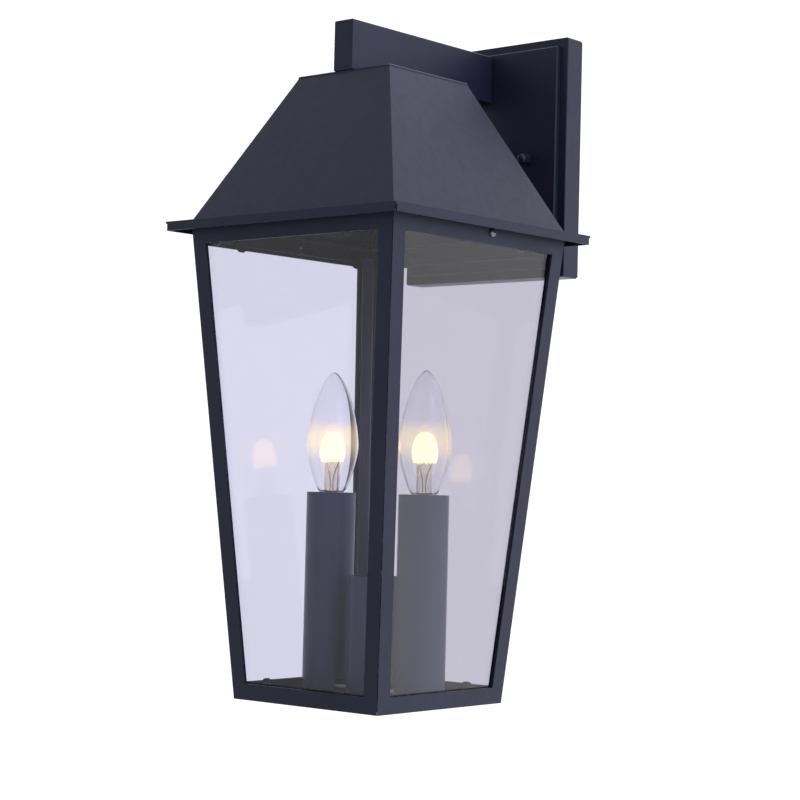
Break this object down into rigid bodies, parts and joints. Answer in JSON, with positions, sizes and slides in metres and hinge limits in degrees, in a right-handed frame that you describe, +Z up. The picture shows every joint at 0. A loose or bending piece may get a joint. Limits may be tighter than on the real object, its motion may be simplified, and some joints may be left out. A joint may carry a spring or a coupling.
{
  "type": "outdoor wall lantern",
  "caption": "Tapered four-sided glazed wall lantern with a pyramid hood and brim, hung from a box arm on a stepped plate, holding candle bulbs on tall sleeves.",
  "frame": {"origin": "middle of the wall plate's back, on the wall's surface", "axes": "+Y into the wall, -Y out along the arm, +Z up, +X to the right of someone facing the lantern"},
  "size_m": [0.2, 0.2285, 0.452],
  "materials": {
    "wall_paint": "fine-texture satin black powder coat",
    "hood_paint": "fine-texture satin black powder coat",
    "cage_paint": "fine-texture satin black powder coat",
    "floor_paint": "satin black powder coat",
    "channel_paint": "satin black powder coat",
    "sleeve_paint": "satin dark grey powder coat",
    "clip_paint": "black paint",
    "cap_nut_paint": "black lacquer, gloss",
    "pane_glass": "clear float glass, polished",
    "bulb_glass": "clear blown glass",
    "stem_glass": "clear pressed glass",
    "bulb_brass": "bright pressed brass",
    "shell_brass": "pressed brass",
    "filament_wire": "glowing wire",
    "zinc_steel": "zinc plated, dull bright",
    "screw_steel": "zinc plated, bright",
    "green_screw": "green dyed zinc",
    "gasket_foam": "closed-cell foam",
    "holder_resin": "moulded phenolic resin",
    "splice_nylon": "moulded nylon",
    "lead_black": "extruded PVC",
    "lead_white": "extruded PVC",
    "lead_green": "extruded PVC"
  },
  "bodies": {
    "wall_side": {"back_pan": "wall_paint", "front_panel": "wall_paint", "arm_tube": "wall_paint", "arm_end_cap": "wall_paint", "hood_shell": "hood_paint", "hood_cap": "hood_paint", "brim": "hood_paint", "hood_tabs": "hood_paint", "wall_gasket": "gasket_foam", "crossbar": "zinc_steel", "crossbar_studs": "zinc_steel", "stud_nuts": "zinc_steel", "hood_nipple": "zinc_steel", "nipple_nuts": "zinc_steel", "nipple_washer": "zinc_steel", "arm_screws": "zinc_steel", "arm_root_block": "zinc_steel", "ground_screw": "green_screw", "splice_connectors": "splice_nylon", "supply_lead_black": "lead_black", "supply_lead_white": "lead_white", "ground_lead": "lead_green"},
    "cage": {"frame_front": "cage_paint", "frame_right": "cage_paint", "frame_rear": "cage_paint", "frame_left": "cage_paint", "pane_front": "pane_glass", "pane_right": "pane_glass", "pane_rear": "pane_glass", "pane_left": "pane_glass", "glass_clips": "clip_paint", "floor_plate": "floor_paint", "cage_screws": "screw_steel", "cage_screw_nuts": "clip_paint", "wire_channel": "channel_paint", "column_sleeve": "sleeve_paint", "column_lid": "sleeve_paint", "lamp_strap": "zinc_steel", "strap_screws": "zinc_steel", "candle_sleeve_left": "sleeve_paint", "candle_sleeve_right": "sleeve_paint", "sleeve_rings": "sleeve_paint", "lamp_holder_left": "holder_resin", "lamp_holder_right": "holder_resin", "holder_shells": "shell_brass", "holder_legs": "zinc_steel", "holder_leads": "lead_white", "lamp_lead_plain": "lead_black", "lamp_lead_ribbed": "lead_black"},
    "bulb_left": {"bulb_glass_left": "bulb_glass", "bulb_base_left": "bulb_brass", "bulb_stem_left": "stem_glass", "bulb_filament_left": "filament_wire"},
    "bulb_right": {"bulb_glass_right": "bulb_glass", "bulb_base_right": "bulb_brass", "bulb_stem_right": "stem_glass", "bulb_filament_right": "filament_wire"},
    "cap_nut_left": {"cap_nut_left": "cap_nut_paint"},
    "cap_nut_right": {"cap_nut_right": "cap_nut_paint"}
  },
  "joints": [
    {"name": "cage_lower", "type": "slide", "parent": "wall_side", "child": "cage", "axis": [0, 0, -1], "range_m": [0, 0.16]},
    {"name": "bulb_left_lift", "type": "slide", "parent": "cage", "child": "bulb_left", "axis": [0, 0, 1], "range_m": [0, 0.14]},
    {"name": "bulb_right_lift", "type": "slide", "parent": "cage", "child": "bulb_right", "axis": [0, 0, 1], "range_m": [0, 0.14]},
    {"name": "cap_nut_left_turn", "type": "hinge", "parent": "wall_side", "child": "cap_nut_left", "pos_m": [-0.04, -0.022, 0], "axis": [0, 1, 0], "continuous": true},
    {"name": "cap_nut_right_turn", "type": "hinge", "parent": "wall_side", "child": "cap_nut_right", "pos_m": [0.04, -0.022, 0], "axis": [0, 1, 0], "continuous": true}
  ]
}
